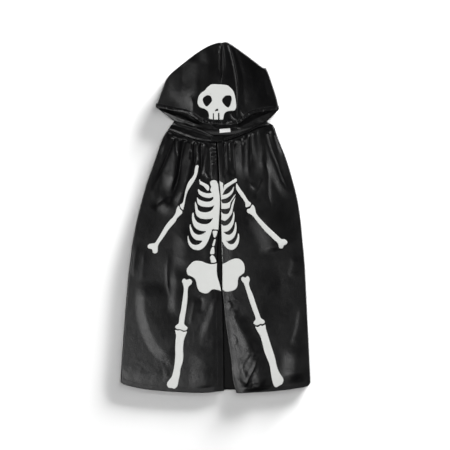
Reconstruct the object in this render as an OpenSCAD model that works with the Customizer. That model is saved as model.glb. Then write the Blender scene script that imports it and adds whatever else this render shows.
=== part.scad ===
// Hooded skeleton cape, laid flat on its back: hood to +Y, front side up.
// Millimetres. The origin is the middle of the bounding box's underside.
// Right and left are the wearer's, so the right front lies at -X.

/* [Cloth] */
// Thickness of one layer of cloth as a solid
cloth_t = 0.7; // [0.5:0.1:0.9]
// Height of the front layer's underside over the floor
front_z = 7; // [6.5:0.5:7.5]
// Thickness of a printed film
print_t = 0.3; // [0.2:0.1:0.4]
// Gap between pieces that move past each other
gap = 0.3; // [0.3:0.05:0.5]

/* [Hood] */
// Height of the hood at its crown
hood_h = 22; // [21:1:24]
// Width of the folded hem round the face opening
rim_w = 9; // [7:1:11]
// Place of the seam between the hood's two panels
hood_seam_x = 12; // [8:1:16]

/* [Fronts] */
// Width of the facing folded under each front edge
facing_w = 17; // [14:1:20]
// Thickness of the neckband
band_t = 1.4; // [1.2:0.1:1.6]
// Thickness of the turn of cloth at each side
side_wall = 1.2; // [1:0.1:1.5]

/* [Closure] */
// Width of the hook patch and of the loop patch
patch_w = 12; // [10:1:13]
// Thickness of the hook tape and of the loop tape
tape_t = 0.8; // [0.6:0.1:0.9]
// Place of the closure tab's sewn edge
tab_root_x = 20; // [18:1:22]
// Place of the closure tab's free end
tab_tip_x = -13; // [-15:1:-12]

/* [Labels] */
// Length of the label at the nape
label_l = 28; // [24:1:32]
// Drop of the label at the nape
label_w = 10; // [9:1:11]
// Thickness of the binding over the seam at the nape
binding_t = 0.4; // [0.3:0.1:0.4]
// Thickness of a label
label_t = 0.5; // [0.3:0.1:0.6]

/* [Hidden] */

satin = [0.1, 0.1, 0.11];
inside = [0.16, 0.16, 0.18];
film = [0.9, 0.9, 0.88];
woven = [0.95, 0.95, 0.94];
tape = [0.25, 0.25, 0.26];

front_top = front_z + cloth_t;
band_top_z = front_z + band_t;
tab_z = band_top_z + 2 * tape_t + gap;
far = 2400;

// Sides of the laid cape from the hem up to the neck
side_right = [[-247.5, -425], [-243, -356], [-238, -291], [-233, -226], [-227, -161],
              [-222, -109], [-214, -57], [-204, -5], [-191, 47], [-175, 99], [-157, 151],
              [-139, 203], [-123, 229]];
side_left = [[247.5, -426], [243, -343], [239, -265], [236, -213], [234, -161],
             [231, -109], [226, -57], [221, -5], [213, 47], [200, 99], [185, 151],
             [164, 203], [155, 231], [145, 247]];

// Hems from the side to the front edge
hem_right = [[-234, -432], [-187, -444], [-112, -451], [-38, -455]];
hem_left = [[230, -439], [198, -444], [148, -450], [97, -453], [66, -455]];

// Front edges from the neck down
edge_right = [[1, 197], [7, 91], [13, 47], [9, -8], [6, -57], [4, -130], [12, -174],
              [18, -213], [20, -290], [22, -452]];
edge_left = [[5, 197], [10.5, 91], [15, 47], [15, -57], [17.5, -187], [21, -230],
             [32, -317], [44, -421], [53, -454]];

// Seam under the neckband and the neckband's upper edge, from the side to the front edge
seam_right = [[-119, 226], [-86, 213], [-53, 202]];
seam_left = [[116, 236], [77, 218], [25, 201]];
band_right = [[-106, 252], [-77, 242], [-42, 232], [-13, 218], [1, 211]];
band_left = [[131, 252], [97, 236], [60, 222], [25, 211], [5, 211]];

// Upper edge of the back panel, left to right
nape = [[-110, 240], [-70, 226], [-30, 219], [11, 217], [50, 219], [95, 228], [136, 240]];

// Hood from one corner of the face opening over the peak to the other
hood_edge = [[-155, 289], [-139, 330], [-123, 368], [-79, 406], [-31, 440], [1, 454],
             [34, 455], [76, 426], [120, 393], [131, 387], [152, 333], [165, 282]];
neck_right = [-109, 254];
neck_left = [134, 254];
hood_middle = [7, 318];
brow = [[-155, 288], [-129, 283], [-104, 277], [-81, 272], [-64, 265], [-42, 252],
        [-25, 246], [3, 243], [48, 243], [63, 247], [82, 260], [102, 271], [130, 277],
        [165, 282]];

// Lines that the two fronts fold about, from the neck to the hem
hinge_right = [[-105, 252], [-243, -430]];
hinge_left = [[132, 252], [243, -430]];

function moved(path, dx, dy) = [for (p = path) [p[0] + dx, p[1] + dy]];
function backwards(path) = [for (i = [len(path) - 1:-1:0]) path[i]];

module plate(z, t) translate([0, 0, z]) linear_extrude(t) children();

// Everything on one side of a line, beginning at a distance from it
module beside(line, side, inset) {
    d = line[1] - line[0];
    translate(line[0]) rotate(atan2(d[1], d[0]))
        translate([-far / 2, side > 0 ? inset : -far - inset]) square(far);
}

module front_right_outline()
    polygon(concat(side_right, seam_right, edge_right, backwards(hem_right)));

module front_left_outline()
    polygon(concat(side_left, seam_left, edge_left, backwards(hem_left)));

module band_right_outline()
    polygon(concat([[-123, 229]], seam_right, [edge_right[0]], backwards(band_right)));

module band_left_outline()
    polygon(concat([[145, 247]], seam_left, [edge_left[0]], backwards(band_left)));

// The part of a front that moves, and the part that stays with the back
module right_free() intersection() {
    children();
    beside(hinge_right, 1, gap);
}
module left_free() intersection() {
    children();
    beside(hinge_left, -1, gap);
}
module right_fixed() intersection() {
    children();
    beside(hinge_right, -1, gap);
}
module left_fixed() intersection() {
    children();
    beside(hinge_left, 1, gap);
}

// Back of the cape

module back_panel() {
    color(satin) plate(0, cloth_t)
        polygon(concat(side_right, nape, backwards(side_left), hem_left, [[53, -447]],
                       [[22, -447]], backwards(hem_right)));
}

// Cloth that turns up at the side and over to the fold line, with its seam
module side_turn(way) {
    plate(cloth_t, front_z - cloth_t) difference() {
        children(0);
        translate([way * side_wall, 0]) children(0);
        children(1);
    }
    plate(front_z, cloth_t) difference() {
        children(0);
        children(1);
    }
}

module side_fold_right() {
    color(satin) side_turn(1) {
        front_right_outline();
        beside(hinge_right, 1, -gap);
    }
    color(satin) plate(front_z, band_t) right_fixed() band_right_outline();
}

module side_fold_left() {
    color(satin) side_turn(-1) {
        front_left_outline();
        beside(hinge_left, -1, -gap);
    }
    color(satin) plate(front_z, band_t) left_fixed() band_left_outline();
}

module neckband_back() {
    color(satin) plate(0, band_t)
        polygon(concat(backwards(nape), [[-106, 251.7], [131, 251.7]]));
}

// Binding that covers the seam at the nape
module neck_tape() {
    color(tape) plate(band_t, binding_t)
        polygon(concat(moved(nape, 0, -1), backwards(moved(nape, 0, 5))));
}

module brand_label() {
    color(woven) translate([11, 222.6, band_t]) rotate(5) cube([label_l, label_w, label_t]);
}

module care_label() {
    color(woven) translate([205, -300, cloth_t]) cube([22, 45, label_t]);
}

// Hood

// Rounded outer form of the hood, drawn in by a distance
module hood_form(inset) {
    hull() {
        for (step = [[1, 0.1], [0.93, 0.55], [0.6, 1]])
            plate(inset, step[1] * hood_h - 2 * inset)
                translate(hood_middle)
                    scale(step[0] - inset / 150)
                        translate(-hood_middle)
                            polygon(concat([[-110, 170]], hood_edge, [[135, 170]]));
    }
}

// Everything below the edge over the forehead
module under_brow(rise)
    polygon(concat([[-400, 288 + rise]], moved(brow, 0, rise), [[400, 282 + rise], [400, 0],
                   [-400, 0]]));

module hood_layer() {
    plate(0, cloth_t) polygon(concat([neck_right], hood_edge, [neck_left]));
    difference() {
        hood_form(0);
        hood_form(cloth_t);
        plate(-1, 60) under_brow(rim_w);
    }
}

module hood_right_panel() {
    color(satin) intersection() {
        hood_layer();
        translate([hood_seam_x - far, 0, 0]) cube([far, far, 60]);
    }
}

module hood_left_panel() {
    color(satin) intersection() {
        hood_layer();
        translate([hood_seam_x, 0, 0]) cube([far, far, 60]);
    }
}

// Hem folded back along the edge over the forehead
module hood_rim_hem() {
    color(inside) difference() {
        hood_form(0);
        hood_form(2 * cloth_t);
        plate(-1, 60) under_brow(0);
        plate(-1, 60) difference() {
            translate([-far / 2, 0]) square(far);
            under_brow(rim_w);
        }
        plate(-1, 1 + 2 * cloth_t + gap) translate([-far / 2, 0]) square(far);
    }
}

module print_skull() {
    color(film) plate(hood_h, print_t) difference() {
        union() {
            translate([4, 306]) scale([1.22, 1]) circle(40, $fn = 60);
            translate([-18, 258]) square([38, 30]);
        }
        translate([-21, 303]) circle(13, $fn = 40);
        translate([30, 303]) circle(13, $fn = 40);
        translate([3, 280]) circle(4, $fn = 24);
        for (x = [-5.5, 7.5]) translate([x, 255]) square([2, 16]);
    }
}

// Right front

module front_right_panel() {
    color(satin) plate(front_z, cloth_t) right_free() front_right_outline();
}

module front_right_facing() {
    color(inside) plate(front_z - cloth_t, cloth_t)
        polygon(concat(edge_right, backwards(moved(edge_right, -facing_w, 0))));
}

module neckband_right() {
    color(satin) plate(front_z, band_t) right_free() band_right_outline();
}

module loop_patch() {
    color(tape) translate([tab_tip_x, 200, band_top_z]) cube([patch_w, 9, tape_t]);
}

// A long bone between two points, with a pair of knobs at each end
module bone(a, b, w, knob) {
    d = b - a;
    translate(a) rotate(atan2(d[1], d[0])) {
        translate([0, -w / 2]) square([norm(d), w]);
        for (x = [0, norm(d)], y = [-0.3, 0.3])
            translate([x, y * knob]) circle(knob * 0.38, $fn = 24);
    }
}

// One rib, from the breastbone out and up
module rib(root, reach, rise, w)
    polygon([root, root + [reach * 0.5, -0.25 * rise - 8], root + [reach, rise],
             root + [reach * 0.94, rise - w], root + [reach * 0.55, -0.25 * rise - 8 - w],
             root + [0, -w]]);

module right_film() color(film) plate(front_top, print_t) intersection() {
    children();
    beside(hinge_right, 1, 4);
}
module left_film() color(film) plate(front_top, print_t) intersection() {
    children();
    beside(hinge_left, -1, 4);
}

module print_upper_arm_right() right_film() bone([-48, 134], [-83, 32], 8, 11);
module print_forearm_right() right_film() bone([-92, 20], [-159, -76], 10, 13);
module print_thigh_right() right_film() bone([-74, -164], [-88, -281], 13, 22);
module print_shin_right() right_film() bone([-90, -300], [-105, -432], 17, 22);

module print_ribs_right() right_film() {
    for (i = [0:5])
        rib([-13, 76 - i * 18], -28 - i * 5, 10 + i * 2, 9);
}

module print_spine() right_film() {
    translate([-12, -30]) square([18, 127]);
    for (y = [-50, -71, -93, -115])
        translate([-11, y]) square([13, 17]);
}

module print_pelvis_right() right_film()
    polygon([[-75, -133], [-47, -111], [-12, -119], [3, -119], [5, -186], [-8, -186],
             [-30, -195], [-42, -188], [-56, -155]]);

module print_pelvis_left() left_film()
    polygon([[18, -119], [36, -111], [66, -111], [75, -123], [74, -138], [58, -158],
             [56, -175], [46, -188], [29, -191], [20, -186]]);

module print_ribs_left() left_film() {
    translate([13, 60]) square([8, 33]);
    for (i = [0:5])
        rib([22, 76 - i * 19], 20 + i * 3, 14 + i * 3, 9);
}

module print_upper_arm_left() left_film() bone([55, 90], [85, 36], 10, 12);
module print_forearm_left() left_film() bone([90, 24], [174, -65], 10, 13);
module print_thigh_left() left_film() bone([76, -160], [112, -270], 12, 20);
module print_shin_left() left_film() bone([118, -285], [162, -428], 17, 20);

// Left front

module front_left_panel() {
    color(satin) plate(front_z, cloth_t) left_free() front_left_outline();
}

module front_left_facing() {
    color(inside) plate(front_z - cloth_t, cloth_t)
        polygon(concat(edge_left, backwards(moved(edge_left, facing_w, 0))));
}

module neckband_left() {
    color(satin) plate(front_z, band_t) left_free() band_left_outline();
    color(satin) translate([tab_root_x + gap, 200, band_top_z])
        cube([4, 10, tab_z + cloth_t - band_top_z]);
}

// Closure tab, sewn to the left neckband

module closure_tab() {
    color(satin) translate([tab_tip_x, 198, tab_z])
        cube([tab_root_x - tab_tip_x, 14, cloth_t]);
}

module hook_patch() {
    color(tape) translate([tab_tip_x + 0.5, 200, tab_z - tape_t]) cube([patch_w, 9, tape_t]);
}

back_panel();
side_fold_right();
side_fold_left();
neckband_back();
neck_tape();
brand_label();
care_label();
hood_right_panel();
hood_left_panel();
hood_rim_hem();
print_skull();
front_right_panel();
front_right_facing();
neckband_right();
loop_patch();
print_upper_arm_right();
print_forearm_right();
print_ribs_right();
print_spine();
print_pelvis_right();
print_thigh_right();
print_shin_right();
front_left_panel();
front_left_facing();
neckband_left();
print_upper_arm_left();
print_forearm_left();
print_ribs_left();
print_pelvis_left();
print_thigh_left();
print_shin_left();
closure_tab();
hook_patch();
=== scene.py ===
"""A child's hooded skeleton cape in black satin, laid flat on a pale floor. Outlines and folds are in
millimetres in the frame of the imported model: hood to +Y, front side up. Right and left are the wearer's,
so the right front is at -X."""

import math

import bpy
import numpy as np
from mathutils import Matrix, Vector
from mathutils.bvhtree import BVHTree
from mathutils.geometry import delaunay_2d_cdt


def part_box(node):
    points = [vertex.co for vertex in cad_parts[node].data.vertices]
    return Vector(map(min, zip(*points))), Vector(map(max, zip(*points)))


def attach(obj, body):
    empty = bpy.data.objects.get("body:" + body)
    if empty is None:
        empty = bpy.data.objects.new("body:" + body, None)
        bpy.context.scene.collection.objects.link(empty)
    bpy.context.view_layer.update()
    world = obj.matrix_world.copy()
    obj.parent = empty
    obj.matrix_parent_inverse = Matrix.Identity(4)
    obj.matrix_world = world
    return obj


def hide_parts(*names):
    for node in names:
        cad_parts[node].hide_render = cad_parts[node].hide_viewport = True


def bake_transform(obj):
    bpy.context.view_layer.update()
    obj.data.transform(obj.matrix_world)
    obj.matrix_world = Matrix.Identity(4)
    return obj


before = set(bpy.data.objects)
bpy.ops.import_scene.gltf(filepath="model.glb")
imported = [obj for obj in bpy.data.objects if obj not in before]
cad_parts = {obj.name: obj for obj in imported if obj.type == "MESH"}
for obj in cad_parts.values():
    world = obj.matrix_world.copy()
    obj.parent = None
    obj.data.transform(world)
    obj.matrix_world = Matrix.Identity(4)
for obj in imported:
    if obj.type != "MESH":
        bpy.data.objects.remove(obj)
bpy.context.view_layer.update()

MM = 0.001
CLOTH = 0.45  # thickness of the satin, and of a print with its cloth, in mm
THIN = 0.4  # thickness of a single hidden layer
BAND = 0.9  # thickness of the neckband, which is folded double
FACING = 17  # depth of the facing along a front edge
HEM = 12  # depth of a hem
LAYERS_BELOW = 3.0  # the lowest that a front comes down on the layers below it
RAY_TOP = 0.2  # where rays start that look for the cloth from above, in metres


def pairs(*numbers):
    """Points from a run of numbers x, y, x, y and so on."""
    return list(zip(numbers[::2], numbers[1::2]))


# ---------------------------------------------------------------- outlines

SIDE_R = pairs(-123, 229, -139, 203, -157, 151, -175.5, 99, -191, 47, -204, -5, -214.5, -57, -222, -109,
    -227.5, -161, -233, -226, -238, -291, -243, -356, -247, -425)
SIDE_L = pairs(150, 240, 164, 203, 184.6, 151, 200, 99, 213, 47, 221, -5, 226, -57, 231, -109, 234, -161,
    236.6, -213, 239, -265, 243, -343, 247, -426)
EDGE_R = pairs(1, 196, 4, 150, 7.3, 91, 12, 47, 9.5, -8, 6.5, -57, 4.4, -114, 5, -148, 12, -174, 18, -213,
    19.5, -265, 21, -317, 21.5, -369, 22.4, -449)
EDGE_L = pairs(4, 197, 7, 150, 10, 91, 13.8, 47, 14.3, -5, 15.3, -57, 17.2, -114, 17.7, -187, 20.5, -213,
    25, -265, 32.5, -317, 39.8, -369, 45, -421, 54, -454)
HEM_R = pairs(-247, -425, -240, -431, -234, -433, -187, -444, -112, -451, -38, -454, 22.4, -449)
HEM_L = pairs(247, -426, 241, -435, 230, -439, 198, -444, 148, -450, 97, -453, 66, -455, 54, -454)
SEAM_R = pairs(-123, 229, -86, 213, -53, 202, -25, 197.5, 1, 196)
SEAM_L = pairs(150, 240, 116, 235, 77, 218, 45, 206, 25, 200, 4, 197)
BAND_R = pairs(-107, 252, -77, 242, -42, 232, -13.5, 218, 1, 211)
BAND_L = pairs(132, 251, 97, 236, 60, 221, 25, 210, 4, 208)
NAPE = pairs(-110, 240, -70, 226, -30, 219, 11, 217, 50, 219, 95, 228, 136, 240)
HEM_B = pairs(-246, -424, -187, -440, -112, -445, 0, -445, 97, -447, 198, -441, 246, -425)
BROW_R = pairs(-155, 288, -129, 282.6, -104, 277, -81, 272.7, -64.5, 265.7, -42, 252, -25, 245, 12, 241.8)
BROW_L = pairs(12, 241.8, 35, 241.8, 48, 242, 63, 246, 82, 260, 102, 271.4, 130, 277, 165, 282)
CROWN_R = pairs(-155, 288, -146, 312, -138, 333, -122.7, 368, -79, 405.6, -31, 440, 1.3, 454, 16, 455.3)
CROWN_L = pairs(16, 455.3, 34, 454.5, 76, 426, 120, 392.6, 134, 383, 152, 333, 160, 306, 165, 282)

# ---------------------------------------------------------------- printed bones

SKULL = pairs(19.7, 255.4, 21, 261.2, 22.2, 267.8, 25.1, 272.4, 30.1, 275.7, 38.4, 277.4, 46.7, 277.8,
    50.8, 280.3, 53.5, 286.1, 53.7, 293.5, 52.1, 306, 50, 317.6, 46.7, 327.5, 41.7, 334.2, 35.1, 340.4,
    29.3, 343.7, 18.5, 345.1, 6.9, 345.8, -3.1, 346.2, -11.4, 345.3, -16.3, 341.6, -21.3, 337.5, -24.6, 333.7,
    -27.9, 329.2, -36.2, 323.4, -42, 316.3, -44.9, 309.3, -46.2, 299.3, -44.5, 291.9, -40.4, 286.9,
    -34.6, 284.4, -27.9, 282.3, -21.3, 277.8, -18.4, 272.8, -16.7, 265.3, -17.2, 258.7)
TEETH = pairs(-14.7, 256.5, -6.8, 255.1, -6.5, 271.1, -4.1, 271.1, -3.9, 254.7, 6.7, 254.7, 6.7, 272, 10, 272,
    10.4, 254.7, 18.9, 254.7)
EYE_R = pairs(-20.5, 317.6, -14.7, 316.7, -10.9, 312.6, -8.9, 305.1, -11.4, 299.3, -16.3, 293.5, -20.5, 289.4,
    -23, 288.6, -26.3, 290.6, -30.4, 296.8, -32.5, 302.6, -32.9, 306.8, -30.4, 311.8, -25.4, 315.5)
EYE_L = pairs(26, 316.3, 31.8, 317.2, 38.4, 316.7, 41.3, 313.4, 42.1, 307.6, 40, 297.7, 37.6, 291,
    34.2, 286.5, 31.8, 286.1, 27.6, 288.6, 21.8, 294.4, 17.7, 301, 17.2, 306, 20.2, 310.9)
NOSE = pairs(4.4, 283.2, 6.9, 281.1, 6.5, 277.4, 3.6, 277.4, -0.2, 276.1, -1.2, 277.8, 0.7, 280.3)
STERNUM_R = pairs(-14.3, 92, -11.8, 95.9, -3.8, 98.3, 3.1, 95.5, 6.1, 90, 18, 90, 24, 0.4, -1.9, -0.1,
    -2.9, 31.3, -5.3, 51.2, -6.3, 63.1, -10.3, 66.1, -13, 71.1, -13.6, 75.1, -11.2, 80.8, -12.8, 84.5,
    -13, 87)
CLAVICLE_R = pairs(-41.7, 99.4, -39.9, 99.9, -39.5, 96.4, -31.7, 92, -23.7, 88, -18.8, 85, -16.6, 81,
    -16.5, 74.1, -18.8, 70.6, -21.8, 72.1, -26.7, 77.5, -31.7, 82.5, -36.7, 85.5, -41.2, 88.5, -41.2, 93,
    -42.6, 97.4)
RIB_1_R = pairs(-44.1, 75.1, -39.7, 70.6, -32.7, 67.1, -24.7, 64.6, -17.8, 63.9, -9.8, 65.3, 0.1, 66.1,
    0.1, 54.7, -7.8, 54.7, -11.8, 52.4, -17.8, 51.7, -26.7, 53.2, -34.7, 56.2, -40.7, 60.1, -44.1, 65.1,
    -45.4, 70.6)
RIB_2_R = pairs(-47.6, 54.2, -45.4, 50.7, -40.7, 47.2, -33.7, 44.2, -26.7, 42.4, -19.8, 42, -13.8, 43.2,
    -8.8, 46.2, -5.8, 50.2, -5.1, 54, 0.1, 55.2, 0.1, 32.8, -3.8, 32.8, -6.8, 30.8, -12.8, 28.8, -20.8, 28.3,
    -28.7, 28.8, -36.7, 30.3, -42.6, 33.8, -46.1, 38.2, -47.8, 45.2)
RIB_3_R = pairs(-52.1, 42.2, -49.6, 36.3, -47.1, 29.3, -46.1, 23.3, -43.6, 19.3, -38.7, 16.4, -31.7, 14.9,
    -24.7, 14.6, -17.8, 15.9, -11.8, 18.8, -6.8, 24.3, -4.3, 30.3, -1.9, 32.8, 0.1, 0.4, -6.8, -0.1,
    -11.8, -2, -19.8, -3, -28.7, -3, -36.7, -1.6, -43.6, 1.4, -48.6, 6.4, -51.6, 14.4, -52.8, 25.3,
    -53.3, 35.3)
LOW_RIBS_R = pairs(27.2, 7.8, 27.2, -31.7, 7.4, -30.5, -7.8, -29.7, -9.5, -33.1, -13.7, -45.8, -17.9, -57,
    -23.6, -68.3, -30.6, -76.8, -39.1, -82.4, -47.5, -83.5, -57.4, -81, -65.9, -73.9, -70.8, -64.1,
    -72.2, -51.4, -70.8, -45.8, -68.7, -54.2, -64.5, -62.7, -58.8, -68.3, -50.4, -70, -43.3, -68.3,
    -37.7, -64.1, -34.1, -59.6, -41.9, -58.4, -50.4, -57, -57.4, -51.4, -63, -42.9, -65.9, -31.7, -67, -20.4,
    -65.2, -15.9, -63, -23.2, -59.5, -31.7, -54.6, -38.7, -47.5, -42.9, -40.5, -43.6, -32, -40.8,
    -24.7, -34.9, -34.9, -33.8, -43.3, -31.7, -50.4, -27.4, -56, -20.4, -59.5, -10.5, -60.9, -0.7, -60.5, 9.2,
    -58.8, 13.4, -57.6, 14.4, -56.1, 9.4, -55.1, 2.4, -52.6, -3.6, -48.6, -9, -42.6, -13, -34.7, -15.5,
    -26.7, -16, -19.8, -15, -13.8, -11.5, -9.8, -6.5, -7.3, -1.6, -2, 3)
SPINE_1 = pairs(-6.4, -33.8, 4.3, -33.8, 4.6, -38.7, 1.8, -47.2, -1.7, -51.1, -4.6, -48.6, -6.7, -40.1)
SPINE_2 = pairs(-3.1, -55.6, 0.7, -55.6, -0.3, -61.3, -3.1, -72.3, -8.4, -72.3, -6.7, -65.5)
SPINE_3 = pairs(-8.1, -75.6, -4.1, -75.6, -3.1, -82.4, -3.6, -93, -13.4, -93.4, -12.6, -85.2, -10.9, -79.6)
SPINE_4 = pairs(-9.5, -96.5, -5.3, -97.9, -1, -103.5, 1.8, -114.1, -10.2, -116.2, -12.3, -110.6, -14, -102.1)
STERNUM_L = pairs(8.1, 94.2, 13.1, 93.8, 18, 91.5, 19.8, 88.5, 19.2, 84, 20.2, 78, 20.5, 75.1, 19, 63.1,
    17.5, 59.6, 16.1, 48.7, 8.1, 48.2)
CLAVICLE_L = pairs(22.5, 84.5, 28, 88, 37.9, 94, 47.9, 99.9, 52.9, 102.4, 55.3, 100.4, 55.1, 95, 52.9, 93.2,
    47.9, 90.5, 37.9, 84, 29, 77, 23, 70.1, 19.5, 63.1, 17.5, 59.6, 15.1, 55.2, 14.1, 69.1, 20.5, 75.1)
RIB_1_L = pairs(17.5, 59.6, 24, 60.6, 33, 64.1, 40.9, 71.1, 45.9, 79, 47.9, 82, 47.4, 76.1, 45.9, 69.1,
    41.9, 62.1, 35.9, 56.2, 28, 51.2, 20, 49, 8.1, 48.7, 8.1, 59.6)
RIB_2_L = pairs(6.1, 47.2, 13.9, 46.7, 16.1, 41.2, 19, 38.2, 25, 37.7, 31, 39, 36.9, 42.2, 40.9, 48.2,
    45.9, 55.2, 51.9, 62.1, 51.4, 59.1, 46.9, 51.2, 41.9, 44.2, 38.9, 38.2, 37.9, 32.3, 36.4, 26.8, 32, 24.8,
    26, 23.5, 18, 23.3, 15.1, 24.3, 12.6, 30.3, 10.1, 31.8, 6.1, 32.3)
RIB_3_L = pairs(6.1, 25.3, 11.6, 24.3, 13.9, 19.3, 15.6, 15.4, 20, 11.4, 26, 10.4, 32, 10.9, 36.9, 17.4,
    39.9, 25.3, 41.4, 32.3, 43.9, 40.2, 51.4, 53.2, 49.9, 45.2, 47.4, 35.3, 44.9, 23.3, 42.9, 12.4, 36.9, 3.4,
    31, -3.5, 24, -7.5, 18, -5.5, 13.1, -3.5, 11.9, -0.6, 6.1, -0.6)
RIB_4_L = pairs(7.4, -16.2, 15.2, -16.2, 20.1, -19.7, 25.8, -19.7, 32.8, -16.9, 39.8, -9.1, 44.1, 0.8,
    45.5, 7.8, 46.6, 14.8, 47.6, 16.5, 49.4, 7.8, 48.3, -6.3, 45.5, -17.6, 39.8, -27.4, 31.4, -34.5,
    20.8, -36.6, 7.4, -37.3)
RIB_5_L = pairs(7.4, -36.6, 20.8, -37, 27.2, -42.2, 35.6, -43.6, 42.7, -39.4, 46.9, -33.1, 49.7, -23.2,
    51.1, -13.3, 52.5, -10.5, 54.4, -20.4, 53.9, -34.5, 49.7, -47.2, 42.7, -55.6, 32.8, -59.9, 29.3, -59.6,
    7.4, -59.9)
RIB_6_L = pairs(7.4, -58.4, 13.8, -58.4, 29.3, -60.6, 32.8, -65.5, 41.3, -68.3, 48.3, -65.5, 53.9, -57,
    57, -48.6, 58.2, -40.8, 60, -40.8, 61.7, -48.6, 60.3, -62.7, 55.3, -73.9, 48.3, -81, 39.8, -83.1,
    31.4, -79.6, 22.9, -71.1, 17.3, -61.3, 7.4, -59.1)
SLIVER_1 = pairs(12.8, -61.3, 16.2, -62, 16.7, -76.5, 13.1, -76.5)
SLIVER_2 = pairs(13.9, -77.6, 17, -77.6, 17.7, -96.2, 14.2, -96.2)
SLIVER_3 = pairs(14.5, -98.2, 17.6, -98.2, 17.9, -116.2, 15.3, -116.5)
PELVIS_R = pairs(-71.5, -127.5, -63, -117.6, -54.6, -112, -44.7, -111, -34.9, -112.7, -25, -116.9,
    -15.1, -119.5, -6.7, -119.8, 5.3, -117.6, 15.9, -116.2, 24.3, -186, 8.8, -187.4, -1, -185.3, -9.5, -186,
    -15.1, -190.9, -19.4, -194.5, -26.4, -195.6, -34.9, -193.7, -41.9, -189.5, -46.1, -182.5, -48.9, -172.6,
    -51.1, -162.7, -56, -155.7, -64.5, -150.8, -71.5, -147.2, -74.6, -138.8, -74, -131.7)
PELVIS_L = pairs(7.4, -124, 17, -119.8, 27.2, -115.5, 38.4, -109.2, 49.7, -105.4, 59.6, -105.7, 68, -110.6,
    73.7, -119, 75.8, -130.3, 74.4, -141.6, 68, -147.2, 61, -152.9, 58.2, -161.3, 57.5, -172.6, 53.9, -182.5,
    45.5, -188.1, 32.8, -191.2, 24.3, -190.2, 18.7, -186, 7.4, -185.3)
HUMERUS_R = pairs(-47.2, 137.4, -43.7, 134.4, -44.9, 126.9, -46.4, 118, -49.4, 107.5, -55.4, 95.6,
    -62.9, 83.6, -70.3, 71.7, -74.8, 61.3, -77.8, 49.3, -80, 37.4, -82.3, 26.9, -83, 22.5, -85.2, 21.7,
    -89, 24.7, -92, 31.4, -91.2, 34.4, -85.2, 39.6, -82.3, 47.8, -80, 58.3, -77.8, 70.2, -73.3, 85.1,
    -67.3, 97.1, -59.9, 106, -55.4, 115, -53.9, 125.4, -51.7, 134.4)
HUMERUS_L = pairs(54.9, 90, 59.2, 83.7, 65.8, 73.7, 73.8, 62.5, 80.4, 51.8, 85.7, 43.9, 91, 39.9, 92.1, 35.9,
    88.4, 30.6, 80.4, 27.7, 77.8, 30.6, 77.1, 38.6, 73.8, 45.2, 67.1, 54.5, 60.5, 63.8, 54.5, 73.7, 53.2, 81,
    53.6, 87.7)
FOREARM_L = pairs(96.3, 34.3, 100.3, 30.6, 103, 22.7, 105, 13.4, 110.9, 4.1, 120.2, -6.5, 130.8, -17.8,
    141.4, -27.8, 152, -37.7, 162.7, -47.6, 170.6, -54.3, 178.6, -54.9, 184.5, -58.9, 186.3, -63.6,
    183.2, -68.9, 177.3, -71.5, 174.6, -78.2, 169.3, -79.2, 164.6, -76.8, 163.3, -70.2, 160, -63.6,
    152, -56.9, 141.4, -46.3, 128.2, -33.7, 117.6, -21.1, 106.9, -7.9, 97.7, 4.1, 91, 9.4, 83.1, 14,
    81.5, 18.7, 83.1, 22.7, 89.7, 25.3, 92.4, 30.6)
FEMUR_R = pairs(-80.4, -157, -75.8, -160.5, -71.7, -159.5, -65.4, -158.5, -60.7, -163.7, -62.3, -170.9,
    -69.6, -178.2, -71.7, -186.5, -72.3, -203, -73.7, -221.7, -76.8, -242.4, -80, -263.1, -81, -274.5,
    -76.8, -279.7, -72.3, -284.9, -75.8, -291.1, -83.1, -291.7, -91.4, -288.8, -99.6, -288, -104.2, -283.5,
    -101.7, -277.7, -95.5, -272.5, -93.4, -256.9, -89.3, -238.3, -86.2, -217.5, -83.1, -196.8, -82, -182.3,
    -84.1, -171.9, -86.8, -164.7, -85.1, -159.5)
FEMUR_L = pairs(70.8, -152.3, 77.1, -154.9, 82.2, -150.8, 86.8, -153.3, 88.9, -160.5, 86.8, -169.9,
    89.5, -182.3, 96.8, -198.9, 103, -217.5, 109.2, -236.2, 114.4, -250.7, 118.5, -260, 125.8, -265.2,
    127.8, -270.4, 123.7, -274.8, 116.2, -274.8, 109.2, -278.1, 101.9, -276.6, 98.8, -271.4, 101.9, -266.3,
    104, -260, 98.8, -244.5, 92.6, -227.9, 86.4, -209.3, 81.2, -192.7, 76, -176.1, 72.9, -168.8, 67.7, -162.6,
    66.7, -156.4)
TIBIA_L = pairs(103, -281.8, 109.6, -282.8, 116.2, -278.7, 122, -280.1, 128.9, -276.6, 131, -288,
    136.1, -304.6, 142.4, -325.3, 148.6, -344, 154.8, -364.7, 158.9, -383.4, 165.2, -399.9, 174.5, -414.5,
    176.1, -422.7, 172.4, -431, 165.2, -435.2, 156.9, -439.3, 150.6, -433.1, 146.5, -418.6, 143.4, -399.9,
    140.3, -381.3, 134.1, -364.7, 126.8, -346.1, 121.6, -325.3, 116.4, -306.7, 109.2, -294.2)
FOREARM_R = pairs(-95.7, 31.4, -92.7, 27.7, -92, 23.2, -86.7, 18, -86.7, 12, -91.2, 7.5, -98.7, 0.1,
    -104.6, -10.4, -113.6, -20.8, -122.5, -31.3, -130, -43.2, -137.5, -53.7, -144.9, -64.1, -148.7, -71.6,
    -149.5, -78, -149.8, -84.5, -151.5, -90, -157.5, -92, -162.5, -89, -163.2, -84.5, -165.5, -80.8,
    -169, -80, -174.5, -78, -175.7, -72, -171.5, -67.3, -165.5, -66.2, -156.9, -64.1, -149.4, -53.7,
    -140.5, -38.7, -130, -20.8, -119.6, -7.4, -110.6, 1.6, -103.9, 12, -101.7, 21, -99.4, 26.9)
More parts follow.
